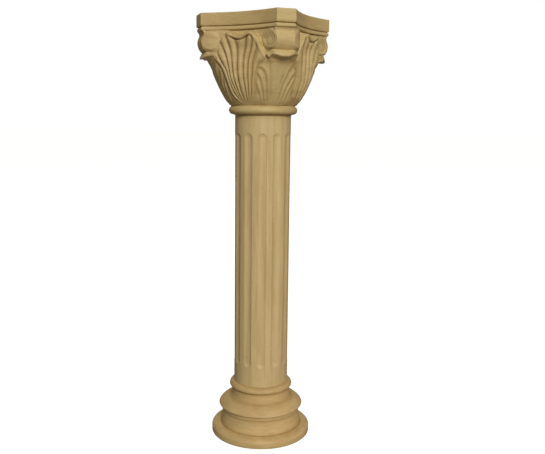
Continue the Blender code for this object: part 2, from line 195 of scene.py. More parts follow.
def honed_marble(name, colour, grain, dust_and_shade_colour):
    """Warm marble, darkened by the mesh's attribute of grime and painted shade. The grain gives how tightly the streaks
    are packed along X, Y and Z.
    """
    material = bpy.data.materials.new(name)
    material.use_nodes = True
    tree = material.node_tree
    shader = tree.nodes["Principled BSDF"]
    place = tree.nodes.new("ShaderNodeTexCoord")

    def mottle(scale, detail, roughness, stretch=(1.0, 1.0, 1.0), distortion=0.0):
        mapping = tree.nodes.new("ShaderNodeMapping")
        mapping.inputs["Scale"].default_value = stretch
        tree.links.new(place.outputs["Object"], mapping.inputs["Vector"])
        texture = tree.nodes.new("ShaderNodeTexNoise")
        texture.inputs["Scale"].default_value = scale
        texture.inputs["Detail"].default_value = detail
        texture.inputs["Roughness"].default_value = roughness
        texture.inputs["Distortion"].default_value = distortion
        tree.links.new(mapping.outputs["Vector"], texture.inputs["Vector"])
        return texture.outputs["Fac"]

    def ramp(value, low, high, start=0.0, end=1.0):
        node = tree.nodes.new("ShaderNodeMapRange")
        node.interpolation_type = "SMOOTHSTEP"
        node.inputs["From Min"].default_value = low
        node.inputs["From Max"].default_value = high
        node.inputs["To Min"].default_value = start
        node.inputs["To Max"].default_value = end
        tree.links.new(value, node.inputs["Value"])
        return node.outputs["Result"]

    def tinted(under, share, tint, blend="MIX"):
        node = tree.nodes.new("ShaderNodeMix")
        node.data_type = "RGBA"
        node.blend_type = blend
        node.clamp_result = True
        tree.links.new(share, node.inputs[0])
        if isinstance(under, tuple):
            node.inputs[6].default_value = (*under, 1.0)
        else:
            tree.links.new(under, node.inputs[6])
        node.inputs[7].default_value = (*tint, 1.0)
        return node.outputs[2]

    def shade(factor):
        return tuple(channel * factor for channel in colour)

    clouds = mottle(5.0, 4.0, 0.55)
    streaks = mottle(9.0, 6.0, 0.6, grain, 0.4)
    fine_streaks = mottle(34.0, 4.0, 0.6, grain, 0.2)
    crystals = mottle(420.0, 3.0, 0.7)
    pits = mottle(95.0, 2.0, 0.5)
    veins = mottle(3.2, 6.0, 0.5, grain, 1.6)
    pink = (colour[0] * 1.04, colour[1] * 0.97, colour[2] * 1.02)
    brown = (colour[0] * 0.74, colour[1] * 0.66, colour[2] * 0.55)
    blonde = tuple(min(1.0, channel * 1.14) for channel in colour)
    result = tinted(colour, ramp(clouds, 0.35, 0.65, 0.0, 0.55), pink)
    result = tinted(result, ramp(streaks, 0.46, 0.66, 0.0, 0.42), brown)
    result = tinted(result, ramp(streaks, 0.50, 0.34, 0.0, 0.50), blonde)
    result = tinted(result, ramp(fine_streaks, 0.50, 0.72, 0.0, 0.36), brown)
    result = tinted(result, ramp(crystals, 0.30, 0.70, 0.0, 0.22), shade(0.80))
    vein_line = tree.nodes.new("ShaderNodeMath")
    vein_line.operation = "COMPARE"
    vein_line.inputs[1].default_value = 0.5
    vein_line.inputs[2].default_value = 0.006
    tree.links.new(veins, vein_line.inputs[0])
    vein_share = tree.nodes.new("ShaderNodeMath")
    vein_share.operation = "MULTIPLY"
    vein_share.inputs[1].default_value = 0.22
    tree.links.new(vein_line.outputs["Value"], vein_share.inputs[0])
    result = tinted(result, vein_share.outputs["Value"], brown)
    pit_share = ramp(pits, 0.705, 0.74, 0.0, 0.55)
    result = tinted(result, pit_share, shade(0.45))
    # Multiplies in a darker warm colour where the mesh's attribute says: grime and painted shade in cuts, grooves and
    # under overhangs.
    dirt_and_shade = tree.nodes.new("ShaderNodeAttribute")
    dirt_and_shade.attribute_name = "dust_and_painted_shade"
    result = tinted(result, dirt_and_shade.outputs["Fac"], dust_and_shade_colour, "MULTIPLY")
    tree.links.new(result, shader.inputs["Base Color"])
    tree.links.new(ramp(clouds, 0.3, 0.7, 0.50, 0.64), shader.inputs["Roughness"])
    shader.inputs["Specular IOR Level"].default_value = 0.42
    bump = tree.nodes.new("ShaderNodeBump")
    bump.inputs["Strength"].default_value = 0.35
    bump.inputs["Distance"].default_value = 0.0008
    height = tree.nodes.new("ShaderNodeMath")
    height.operation = "SUBTRACT"
    tree.links.new(crystals, height.inputs[0])
    tree.links.new(pit_share, height.inputs[1])
    tree.links.new(height.outputs["Value"], bump.inputs["Height"])
    tree.links.new(bump.outputs["Normal"], shader.inputs["Normal"])
    return material


def arc(centre, radii, start, end, steps):
    """Points of an ellipse's arc; degrees from straight outward, upward positive."""
    angles = np.radians(np.linspace(start, end, steps + 1))
    return [(centre[0] + radii[0] * math.cos(a), centre[1] + radii[1] * math.sin(a)) for a in angles]


def finished(name, vertices, faces, dust_and_painted_shade, material, sharp_degrees):
    """One closed mesh piece with its attribute of grime and painted shade, smooth shaded."""
    mesh = bpy.data.meshes.new(name)
    mesh.from_pydata(vertices, [], faces)
    attribute = mesh.attributes.new("dust_and_painted_shade", "FLOAT", "POINT")
    attribute.data.foreach_set("value", np.asarray(dust_and_painted_shade, np.float32))
    mesh.validate()
    mesh.shade_smooth()
    mesh.set_sharp_from_angle(angle=math.radians(sharp_degrees))
    mesh.materials.append(material)
    piece = bpy.data.objects.new(name, mesh)
    bpy.context.scene.collection.objects.link(piece)
    return piece


def base_outline():
    """(radius, height, darkening) down the outside of the base; the darkening is grime and painted shade."""
    # Third numbers: grime and painted shade, darkest in the groove under the ring, the necking crease, under the torus
    # and fillet, round the hollow and at the plinth's foot; the ring is darkened a little all over.
    outline = [(0.0, BASE_HEIGHT, 0.0), (SHAFT_RADIUS, BASE_HEIGHT, 0.1)]
    ring = arc((SHAFT_RADIUS, RING_BELLY), (RING_RADIUS - SHAFT_RADIUS, BASE_HEIGHT - RING_BELLY), 82.0, 0.0, 12)
    outline += [(radius, height, 0.18) for radius, height in ring]
    outline += [
        (RING_RADIUS - 0.0006, RING_BELLY - 0.0030, 0.0),
        (RING_RADIUS - 0.0024, RING_BELLY - 0.0058, 0.1),
        (RING_RADIUS - 0.0054, RING_BELLY - 0.0080, 0.5),
        (NECKING_RADIUS + 0.0040, RING_FOOT - 0.0012, 1.0),
        (NECKING_RADIUS + 0.0008, RING_FOOT - 0.0036, 0.9),
        (NECKING_RADIUS, RING_FOOT - 0.009, 0.45),
        (NECKING_RADIUS + 0.0003, RING_FOOT - 0.018, 0.10),
        (NECKING_RADIUS + 0.0008, 0.203, 0.05),
        (NECKING_RADIUS + 0.0020, 0.194, 0.20),
        (NECKING_RADIUS + 0.0044, 0.1885, 0.32),
        (NECKING_RADIUS + 0.0080, 0.1852, 0.42),
    ]
    steps = 26
    for index in range(3, steps):
        share = 1.0 - (index / steps) ** 1.25
        outward = (1.0 - share**TORUS_SQUARENESS) ** (1.0 / TORUS_SQUARENESS)
        radius = NECKING_RADIUS + (TORUS_RADIUS - NECKING_RADIUS) * outward
        outline.append((radius, TORUS_BELLY + (TORUS_TOP - TORUS_BELLY) * share, max(0.0, 0.62 - 0.08 * index)))
    outline += [
        (radius, height, dust_and_shade)
        for (radius, height), dust_and_shade in zip(
            arc((TORUS_RADIUS - 0.010, TORUS_BELLY), (0.010, 0.0066), 0.0, -80.0, 5), (0, 0, 0, 0.1, 0.4, 0.8)
        )
    ]
    outline += [
        (FILLET_RADIUS + 0.0010, TORUS_FOOT + 0.0006, 0.9),
        (FILLET_RADIUS, TORUS_FOOT - 0.0010, 0.4),
        (FILLET_RADIUS, TORUS_FOOT - 0.004, 0.0),
        (FILLET_RADIUS, FILLET_FOOT + 0.0012, 0.0),
        (FILLET_RADIUS - 0.0008, FILLET_FOOT, 0.5),
        (HOLLOW_RADIUS - 0.0012, HOLLOW_TOP + 0.0006, 1.0),
    ]
    steps = 16
    for index in range(steps + 1):
        share = index / steps
        radius = HOLLOW_RADIUS + (SHOULDER_RADIUS - HOLLOW_RADIUS) * share**2
        height = HOLLOW_TOP + (SHOULDER_TOP + 0.001 - HOLLOW_TOP) * share
        outline.append((radius, height, 0.35 * max(0.0, 1.0 - 6.0 * min(share, 1.0 - share))))
    outline += [(SHOULDER_RADIUS + 0.0004, SHOULDER_TOP - 0.0012, 0.9)]
    width, drop = PLINTH_RADIUS - SHOULDER_RADIUS, SHOULDER_TOP - PLINTH_EDGE
    for radius, height in arc((SHOULDER_RADIUS + 0.10 * width, PLINTH_EDGE), (0.90 * width, 0.96 * drop), 88.0, 0.0, 14):
        outline.append((radius, height, 0.0))
    outline += [
        (PLINTH_RADIUS, PLINTH_EDGE - 0.006, 0.0),
        (PLINTH_RADIUS, 0.008, 0.05),
        (PLINTH_RADIUS, 0.0022, 0.25),
        (PLINTH_RADIUS - 0.0006, 0.0006, 0.5),
        (PLINTH_RADIUS - 0.0022, 0.0, 0.6),
        (0.0, 0.0, 0.0),
    ]
    return outline


def turned(outline, steps, wobble):
    """Vertices, faces and darkening (grime and painted shade) of an outline turned about the axis; its ends lie on the
    axis.
    """
    vertices, dust_and_shade, rings = [], [], []
    for radius, height, value in outline:
        if radius == 0.0:
            rings.append([len(vertices)] * steps)
            vertices.append((0.0, 0.0, height))
            dust_and_shade.append(value)
            continue
        ring = []
        for index in range(steps):
            angle = math.tau * index / steps
            x, y = math.sin(angle), -math.cos(angle)
            offset = wobble * noise.noise((x * 2.2, y * 2.2, height * 9.0))
            ring.append(len(vertices))
            vertices.append(((radius + offset) * x, (radius + offset) * y, height))
            dust_and_shade.append(value)
        rings.append(ring)
    faces = []
    for upper, lower in zip(rings, rings[1:]):
        for index in range(steps):
            following = (index + 1) % steps
            corners = (upper[index], lower[index], lower[following], upper[following])
            faces.append(tuple(dict.fromkeys(corners)))
    return vertices, faces, dust_and_shade


base_vertices, base_faces, base_dust_and_shade = turned(base_outline(), TURNED_STEPS, 0.0004)
base_marble = honed_marble("base_marble", BASE_COLOUR, (1.0, 1.0, 5.0), (0.55, 0.42, 0.24))
base = finished("turned_base", base_vertices, base_faces, base_dust_and_shade, base_marble, 40.0)
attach(base, "root")
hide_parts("base")


# Shaft: one straight drum with twelve shallow flutes that end in half rounds, plain bands left
# at the foot and the head. Its stone is paler, with upright brownish streaks.
SHAFT_COLOUR = (0.620, 0.468, 0.222)
SHAFT_FOOT = 0.260
SHAFT_HEAD = 1.5527
FLUTES = 12
FLUTE_HALF_WIDTH = 0.0206
FLUTE_DEPTH = 0.0065
FLUTE_FOOT = 0.357
FLUTE_HEAD = 1.474
FLUTE_TURN = -3.0
COLUMNS_PER_FLUTE = 24
EDGE_SHARE = 0.6667
ROW_BANDS = (
    (SHAFT_FOOT, SHAFT_FOOT + ARRIS, 2),
    (SHAFT_FOOT + ARRIS, FLUTE_FOOT, 10),
    (FLUTE_FOOT, FLUTE_FOOT + 0.004, 10),
    (FLUTE_FOOT + 0.004, FLUTE_FOOT + FLUTE_HALF_WIDTH, 16),
    (FLUTE_FOOT + FLUTE_HALF_WIDTH, FLUTE_HEAD - FLUTE_HALF_WIDTH, 64),
    (FLUTE_HEAD - FLUTE_HALF_WIDTH, FLUTE_HEAD - 0.004, 16),
    (FLUTE_HEAD - 0.004, FLUTE_HEAD, 10),
    (FLUTE_HEAD, SHAFT_HEAD - ARRIS, 10),
    (SHAFT_HEAD - ARRIS, SHAFT_HEAD, 2),
)


class Tree:
    """A small Geometry Nodes builder: named inputs and maths on fields."""

    def __init__(self, name):
        self.tree = bpy.data.node_groups.new(name, "GeometryNodeTree")
        self.tree.interface.new_socket("Geometry", in_out="OUTPUT", socket_type="NodeSocketGeometry")
        self.inlet = self.tree.nodes.new("NodeGroupInput")
        self.values = {}

    def named(self, name, value):
        kind = "NodeSocketInt" if isinstance(value, int) else "NodeSocketFloat"
        socket = self.tree.interface.new_socket(name, in_out="INPUT", socket_type=kind)
        self.values[socket.identifier] = value
        return self.inlet.outputs[name]

    def put(self, value, socket):
        if isinstance(value, (int, float)):
            socket.default_value = value
        else:
            self.tree.links.new(value, socket)

    def maths(self, operation, *values):
        node = self.tree.nodes.new("ShaderNodeMath")
        node.operation = operation
        for index, value in enumerate(values):
            self.put(value, node.inputs[index])
        return node.outputs[0]

    def ranged(self, value, low, high, start, end):
        node = self.tree.nodes.new("ShaderNodeMapRange")
        for socket, given in zip(node.inputs, (value, low, high, start, end)):
            self.put(given, socket)
        return node.outputs["Result"]

    def made(self, name, geometry, material):
        """Ends the tree, runs it on an empty mesh and returns the plain mesh object."""
        real = self.tree.nodes.new("GeometryNodeRealizeInstances")
        self.tree.links.new(geometry, real.inputs["Geometry"])
        dressed = self.tree.nodes.new("GeometryNodeSetMaterial")
        dressed.inputs["Material"].default_value = material
        self.tree.links.new(real.outputs["Geometry"], dressed.inputs["Geometry"])
        outlet = self.tree.nodes.new("NodeGroupOutput")
        self.tree.links.new(dressed.outputs["Geometry"], outlet.inputs["Geometry"])
        holder = bpy.data.objects.new(name + "_maker", bpy.data.meshes.new(name + "_maker"))
        bpy.context.scene.collection.objects.link(holder)
        modifier = holder.modifiers.new("maker", "NODES")
        modifier.node_group = self.tree
        for identifier, value in self.values.items():
            modifier[identifier] = value
        evaluated = holder.evaluated_get(bpy.context.evaluated_depsgraph_get())
        mesh = bpy.data.meshes.new_from_object(evaluated)
        mesh.name = name
        holder.modifiers.remove(modifier)
        bpy.data.objects.remove(holder)
        piece = bpy.data.objects.new(name, mesh)
        bpy.context.scene.collection.objects.link(piece)
        return piece


shaft_tree = Tree("fluted_drum")
radius = shaft_tree.named("Radius", SHAFT_RADIUS)
flutes = shaft_tree.named("Flutes", FLUTES)
half_width = shaft_tree.named("Flute half width", FLUTE_HALF_WIDTH)
depth = shaft_tree.named("Flute depth", FLUTE_DEPTH)
foot = shaft_tree.named("Flute foot", FLUTE_FOOT)
head = shaft_tree.named("Flute head", FLUTE_HEAD)
first = shaft_tree.named("Turn of the first flute", math.radians(FLUTE_TURN))
nodes, links = shaft_tree.tree.nodes, shaft_tree.tree.links
row_count = sum(count for _, _, count in ROW_BANDS)
drum = nodes.new("GeometryNodeMeshCylinder")
drum.fill_type = "TRIANGLE_FAN"
drum.inputs["Vertices"].default_value = FLUTES * COLUMNS_PER_FLUTE
drum.inputs["Side Segments"].default_value = row_count
drum.inputs["Radius"].default_value = 1.0
drum.inputs["Depth"].default_value = float(row_count)
position = nodes.new("GeometryNodeInputPosition")
split = nodes.new("ShaderNodeSeparateXYZ")
links.new(position.outputs["Position"], split.inputs["Vector"])
maths, ranged = shaft_tree.maths, shaft_tree.ranged
row = maths("ADD", split.outputs["Z"], row_count / 2.0)
height = SHAFT_FOOT
passed = 0
for low, high, count in ROW_BANDS:
    height = maths("ADD", ranged(row, float(passed), float(passed + count), 0.0, high - low), height)
    passed += count
raw_angle = maths("ARCTAN2", split.outputs["X"], maths("MULTIPLY", split.outputs["Y"], -1.0))
pitch = maths("DIVIDE", math.tau, flutes)
half_pitch = maths("DIVIDE", pitch, 2.0)
beside = maths("WRAP", raw_angle, half_pitch, maths("MULTIPLY", half_pitch, -1.0))
flute_middle = maths("SUBTRACT", raw_angle, beside)
place_across = maths("DIVIDE", maths("ABSOLUTE", beside), half_pitch)
from_end = maths("MINIMUM", maths("SUBTRACT", height, foot), maths("SUBTRACT", head, height))
beyond = ranged(maths("DIVIDE", from_end, half_width), 0.0, 1.0, 1.0, 0.0)
width = maths("SQRT", maths("MAXIMUM", 0.0, maths("SUBTRACT", 1.0, maths("MULTIPLY", beyond, beyond))))
at_flute = maths("GREATER_THAN", width, 0.0001)
spread = maths("ADD", width, maths("SUBTRACT", 1.0, at_flute))
edge_angle = maths("MULTIPLY", maths("DIVIDE", half_width, radius), spread)
inner = ranged(place_across, 0.0, EDGE_SHARE, 0.0, edge_angle)
outer = ranged(place_across, EDGE_SHARE, 1.0, 0.0, maths("SUBTRACT", half_pitch, edge_angle))
away = maths("MULTIPLY", maths("ADD", inner, outer), maths("SIGN", beside))
angle = maths("ADD", maths("ADD", flute_middle, away), first)
across = maths("MINIMUM", 1.0, maths("DIVIDE", place_across, EDGE_SHARE))
hollow = maths("SUBTRACT", 1.0, maths("MULTIPLY", across, across))
cut = maths("MULTIPLY", maths("MULTIPLY", depth, hollow), maths("MULTIPLY", width, width))
ends = maths(
    "ADD",
    ranged(height, SHAFT_FOOT, SHAFT_FOOT + ARRIS, ARRIS, 0.0),
    ranged(height, SHAFT_HEAD - ARRIS, SHAFT_HEAD, 0.0, ARRIS),
)
tool_marks = nodes.new("ShaderNodeTexNoise")
tool_marks.inputs["Scale"].default_value = 3.0
tool_marks.inputs["Detail"].default_value = 2.0
wobble = maths("MULTIPLY", maths("SUBTRACT", tool_marks.outputs["Fac"], 0.5), 0.0008)
reach = maths("ADD", maths("SUBTRACT", maths("SUBTRACT", radius, cut), ends), wobble)
off_axis = maths("GREATER_THAN", maths("ADD", maths("ABSOLUTE", split.outputs["X"]), maths("ABSOLUTE", split.outputs["Y"])), 0.01)
reach = maths("MULTIPLY", reach, off_axis)
joined = nodes.new("ShaderNodeCombineXYZ")
links.new(maths("MULTIPLY", reach, maths("SINE", angle)), joined.inputs["X"])
links.new(maths("MULTIPLY", maths("MULTIPLY", reach, maths("COSINE", angle)), -1.0), joined.inputs["Y"])
links.new(height, joined.inputs["Z"])
dust_and_shade_store = nodes.new("GeometryNodeStoreNamedAttribute")
dust_and_shade_store.data_type = "FLOAT"
dust_and_shade_store.domain = "POINT"
dust_and_shade_store.inputs["Name"].default_value = "dust_and_painted_shade"
links.new(drum.outputs["Mesh"], dust_and_shade_store.inputs["Geometry"])
# Painted shade along the flutes' edges, a little at the foot, and a gradient of painted shadow under the neck ring at
# the head.
painted_shade_near_edge = ranged(maths("ABSOLUTE", maths("SUBTRACT", across, 0.93)), 0.0, 0.16, 0.30, 0.0)
painted_shade_near_ends = maths("ADD", ranged(height, SHAFT_FOOT, SHAFT_FOOT + 0.006, 0.05, 0.0), ranged(height, SHAFT_HEAD - 0.024, SHAFT_HEAD, 0.0, 0.22))
flute_dust_and_shade = maths("MULTIPLY", painted_shade_near_edge, maths("MULTIPLY", width, maths("LESS_THAN", place_across, EDGE_SHARE)))
shaft_tree.put(maths("MAXIMUM", flute_dust_and_shade, painted_shade_near_ends), dust_and_shade_store.inputs["Value"])
shaped = nodes.new("GeometryNodeSetPosition")
links.new(dust_and_shade_store.outputs["Geometry"], shaped.inputs["Geometry"])
links.new(joined.outputs["Vector"], shaped.inputs["Position"])
shaft_marble = honed_marble("shaft_marble", SHAFT_COLOUR, (4.0, 4.0, 0.35), (0.58, 0.45, 0.28))
shaft = shaft_tree.made("fluted_shaft", shaped.outputs["Geometry"], shaft_marble)
shaft.data.shade_smooth()
shaft.data.set_sharp_from_angle(angle=math.radians(18.0))
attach(shaft, "root")
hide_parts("shaft")


# Capital: one carved stone. Over a half-round neck ring stand four wide ribbed leaves, one on each
# face, between four corner leaves whose tips turn out under corner scrolls. The scrolls carry a
# concave-sided abacus with cut corners. The same warm marble, sawn and honed, darkened in its cuts
# with grime and painted shade, with painted shadow under the neck ring and under the leaf tips.
CAPITAL_COLOUR = (0.590, 0.445, 0.196)
NECK_FOOT = 1.553
NECK_BELLY = 1.5795
NECK_RISE = 0.0195
NECK_RADIUS = 0.1605
NECK_CORE = 0.141
LEAF_FOOT = 1.6025
SPLIT = 1.797
NOTCH = 1.834
ABACUS_FOOT = 1.9245
BEAD_TOP = 1.9400
BAND_FOOT = 1.9440
COLUMN_TOP = 2.000
ABACUS_CORNER = 0.308
ABACUS_CUT = 0.0435
ABACUS_HOLLOW = 0.032
SCROLL_HALF_WIDTH = 0.0410
SCROLL_FLARE = 0.0050
SCROLL_HOLLOW = 0.036

# Radius of the bell by height, on a face and on a corner
FACE_PROFILE = (
    (1.597, 0.150), (1.612, 0.163), (1.631, 0.178), (1.655, 0.193), (1.678, 0.204),
    (1.718, 0.218), (1.763, 0.223), (1.810, 0.223), (1.844, 0.225), (1.864, 0.232),
    (1.881, 0.2395), (1.906, 0.2457),
)
CORNER_PROFILE = (
    (1.597, 0.154), (1.622, 0.169), (1.658, 0.190), (1.694, 0.209), (1.729, 0.226),
    (1.777, 0.250), (1.799, 0.264), (1.919, 0.286),
)
# Reach of the scroll's front along the corner's diagonal, by height
SCROLL_PROFILE = (
    (1.834, 0.283), (1.846, 0.295), (1.860, 0.302), (1.878, 0.3045), (1.893, 0.301),
    (1.906, 0.295), (1.915, 0.2945), (1.922, 0.299), (1.9245, 0.301),
)
# Edges of the wide leaf by height, in degrees from the middle of the face; hand-cut, so its two
# sides differ a little
LEFT_RIM = (
    (1.597, 4.0), (1.611, 9.0), (1.632, 15.8), (1.652, 18.8), (1.678, 20.6), (1.706, 21.4),
    (1.723, 21.8), (1.744, 22.8), (1.759, 24.0), (1.774, 25.6), (1.787, 27.8), (1.797, 29.4), (1.803, 29.8),
)
RIGHT_RIM = (
    (1.597, 4.0), (1.611, 8.0), (1.632, 12.6), (1.660, 14.8), (1.690, 15.8), (1.721, 17.2),
    (1.748, 19.0), (1.767, 20.8), (1.780, 23.0), (1.790, 26.4), (1.797, 29.0), (1.803, 29.8),
)
# Grooves of the wide leaves by height, in degrees from the middle to the left and to the right.
# The leaves on two of the faces have fewer and wider ribs.
LEFT_GROOVES = (
    ((1.610, 2.6), (1.659, 4.0), (1.689, 4.0), (1.734, 4.9), (1.779, 5.0), (1.822, 4.7), (1.864, 5.0), (1.900, 6.4)),
    ((1.610, 4.6), (1.654, 7.8), (1.679, 8.8), (1.705, 9.8), (1.760, 11.0), (1.810, 11.8), (1.855, 13.5), (1.900, 15.0)),
    ((1.612, 6.6), (1.645, 9.8), (1.677, 12.2), (1.700, 13.9), (1.745, 15.4), (1.801, 17.0), (1.846, 20.5), (1.900, 23.0)),
    ((1.612, 8.0), (1.631, 12.2), (1.657, 15.6), (1.705, 17.4), (1.746, 19.0), (1.769, 21.5), (1.812, 26.6), (1.840, 29.0)),
)
RIGHT_GROOVES = (
    ((1.610, 2.2), (1.659, 3.4), (1.709, 3.0), (1.784, 3.2), (1.809, 3.6), (1.828, 4.6), (1.850, 6.3), (1.900, 9.6)),
    ((1.612, 4.4), (1.650, 6.8), (1.696, 7.8), (1.748, 8.5), (1.773, 9.0), (1.798, 9.8), (1.844, 13.2), (1.900, 16.0)),
    ((1.615, 6.4), (1.650, 10.4), (1.689, 12.6), (1.743, 13.8), (1.773, 14.2), (1.792, 15.2), (1.840, 19.0), (1.900, 22.0)),
)
WIDE_LEFT_GROOVES = (
    ((1.610, 1.6), (1.680, 3.2), (1.750, 3.6), (1.800, 3.4), (1.840, 3.0), (1.900, 2.6)),
    ((1.612, 6.0), (1.660, 9.6), (1.718, 11.5), (1.745, 13.5), (1.783, 13.8), (1.817, 14.5), (1.851, 15.2), (1.900, 17.0)),
)
WIDE_RIGHT_GROOVES = (
    ((1.612, 3.0), (1.660, 5.0), (1.720, 5.8), (1.777, 5.8), (1.823, 5.4), (1.900, 8.0)),
    ((1.615, 6.4), (1.660, 10.6), (1.720, 12.8), (1.780, 13.6), (1.830, 17.0), (1.900, 20.0)),
)
# Height of the wide leaf's top edge by place across it, from its middle (0) to its rim (1)
LEAF_TOP = (
    (0.0, 1.891), (0.12, 1.8935), (0.22, 1.898), (0.32, 1.904), (0.41, 1.9065), (0.49, 1.904),
    (0.56, 1.897), (0.63, 1.886), (0.70, 1.872), (0.76, 1.857), (0.82, 1.842), (0.88, 1.827),
    (0.95, 1.812), (1.0, 1.803),
)
GROOVE_DEPTH = 0.0110
# Grime and painted shade in the leaf's grooves.
RIB_DUST_AND_SHADE = 0.70
LIP_CUT = 0.0085
BAND_WIDTH = 0.0115
BAND_PROUD = 0.0052
# Flame-shaped lobes of a corner leaf: (degrees beside its middle, height) along each ridge or cut,
# with how far it rises or sinks
LOBE_LINES = (
    (((-23.0, 1.768), (-18.8, 1.762), (-15.5, 1.748), (-13.5, 1.728), (-12.4, 1.705), (-11.4, 1.670), (-11.0, 1.625)), 0.0050),
    (((-22.0, 1.756), (-19.2, 1.750), (-16.8, 1.737), (-15.3, 1.719), (-14.6, 1.697), (-13.6, 1.660), (-13.2, 1.620)), -0.0050),
    (((-25.5, 1.744), (-22.4, 1.732), (-20.2, 1.713), (-18.6, 1.692), (-16.8, 1.660), (-16.0, 1.620)), 0.0050),
    (((-26.0, 1.728), (-22.9, 1.716), (-21.0, 1.699), (-20.0, 1.679), (-18.4, 1.650), (-17.8, 1.618)), -0.0050),
    (((-29.0, 1.712), (-26.6, 1.703), (-24.8, 1.688), (-23.2, 1.668), (-21.0, 1.640), (-20.2, 1.616)), 0.0046),
    (((-30.0, 1.693), (-27.6, 1.682), (-26.2, 1.668), (-24.0, 1.642)), -0.0040),
    (((-12.8, 1.782), (-11.2, 1.760), (-10.2, 1.738), (-9.5, 1.712), (-8.6, 1.672), (-8.2, 1.630)), -0.0036),
    (((1.9, 1.742), (0.9, 1.722), (0.3, 1.709), (1.2, 1.680)), 0.0020),
    (((5.2, 1.730), (3.7, 1.711), (3.0, 1.690)), -0.0026),
    (((8.4, 1.745), (7.5, 1.723), (6.0, 1.706), (4.4, 1.682), (3.2, 1.650), (2.8, 1.622)), 0.0034),
    (((11.2, 1.745), (9.0, 1.716), (7.2, 1.700), (6.2, 1.682), (5.4, 1.650), (5.0, 1.620)), -0.0040),
    (((18.6, 1.746), (15.0, 1.729), (12.9, 1.710), (11.2, 1.694), (9.8, 1.672), (8.6, 1.640), (8.0, 1.616)), 0.0048),
    (((20.0, 1.734), (17.0, 1.712), (14.6, 1.691), (12.9, 1.676), (11.4, 1.645), (10.8, 1.616)), -0.0046),
    (((25.0, 1.752), (22.4, 1.737), (20.3, 1.720), (18.4, 1.702), (16.0, 1.675), (14.4, 1.645), (13.6, 1.616)), 0.0048),
    (((26.8, 1.738), (24.0, 1.718), (21.8, 1.702), (19.6, 1.678), (17.6, 1.650), (16.6, 1.616)), -0.0046),
    (((28.6, 1.726), (26.8, 1.708), (25.0, 1.690), (22.6, 1.662)), 0.0036),
    (((20.0, 1.786), (14.5, 1.782), (11.0, 1.771), (9.2, 1.752)), 0.0034),
    (((17.6, 1.778), (14.6, 1.762), (12.2, 1.744)), -0.0036),
)
LOBE_WIDTH = 0.0058
LOBE_STRENGTH = 0.62
LEAF_COLUMNS = 60
SIDE_COLUMNS = 22
FRONT_COLUMNS = 10
BELL_ROWS = 54
UPPER_LEAF_ROWS = 24
BACK_ROWS = 17
UNDER_ROWS = 6
EDGE_ROWS = 3
TIP_FRONT_ROWS = 6
FRONT_START = 0.62


def along(keys, x):
    """Value on a smooth curve through (x, value) keys."""
    if x <= keys[0][0]:
        return keys[0][1]
    for index in range(len(keys) - 1):
        low, high = keys[index], keys[index + 1]
        if x <= high[0]:
            before, after = keys[max(index - 1, 0)], keys[min(index + 2, len(keys) - 1)]
            span = high[0] - low[0]
            t = (x - low[0]) / span
            rise_low = (high[1] - before[1]) / (high[0] - before[0]) * span
            rise_high = (after[1] - low[1]) / (after[0] - low[0]) * span
            return (
                (2 * t**3 - 3 * t**2 + 1) * low[1]
                + (t**3 - 2 * t**2 + t) * rise_low
                + (3 * t**2 - 2 * t**3) * high[1]
                + (t**3 - t**2) * rise_high
            )
    return keys[-1][1]


def smooth(low, high, x):
    t = min(1.0, max(0.0, (x - low) / (high - low)))
    return t * t * (3.0 - 2.0 * t)


def bell_radius(degrees, height):
    """Round at the foot, squarer toward the top."""
    squareness = (1.0 - math.cos(math.radians(4.0 * degrees))) / 2.0
    face, corner = along(FACE_PROFILE, height), along(CORNER_PROFILE, height)
    return face + (corner - face) * squareness


def from_polar(degrees, reach, height):
    angle = math.radians(degrees)
    return reach * math.sin(angle), reach * math.cos(angle), height


def beside_diagonal(reach, aside, height):
    """Point given by its reach along the corner's diagonal and its distance beside it."""
    return (reach - aside) / math.sqrt(2), (reach + aside) / math.sqrt(2), height


def rim_degrees(side, height):
    return along(LEFT_RIM if side < 0 else RIGHT_RIM, height)


def groove_marks(side, wide, height):
    """Degrees from the leaf's middle to each groove on one side, kept inside the rim."""
    if wide:
        lines = WIDE_LEFT_GROOVES if side < 0 else WIDE_RIGHT_GROOVES
    else:
        lines = LEFT_GROOVES if side < 0 else RIGHT_GROOVES
    rim = rim_degrees(side, height)
    marks = []
    for index, line in enumerate(lines):
        inside_rim = rim * (1.0 - 0.35 * (len(lines) - index) / (len(lines) + 1))
        marks.append(min(along(line, height), inside_rim))
    return marks


def leaf_degrees(side, wide, place, height):
    """Degrees of a place across the leaf (0 middle, 1 rim), so that mesh columns follow the grooves."""
    marks = [0.0, *groove_marks(side, wide, height), rim_degrees(side, height)]
    position = place * (len(marks) - 1.5) + 0.5
    if position < 1.0:
        return marks[1] * (position - 0.5) / 0.5
    index = min(int(position), len(marks) - 2)
    return marks[index] + (marks[index + 1] - marks[index]) * (position - index)


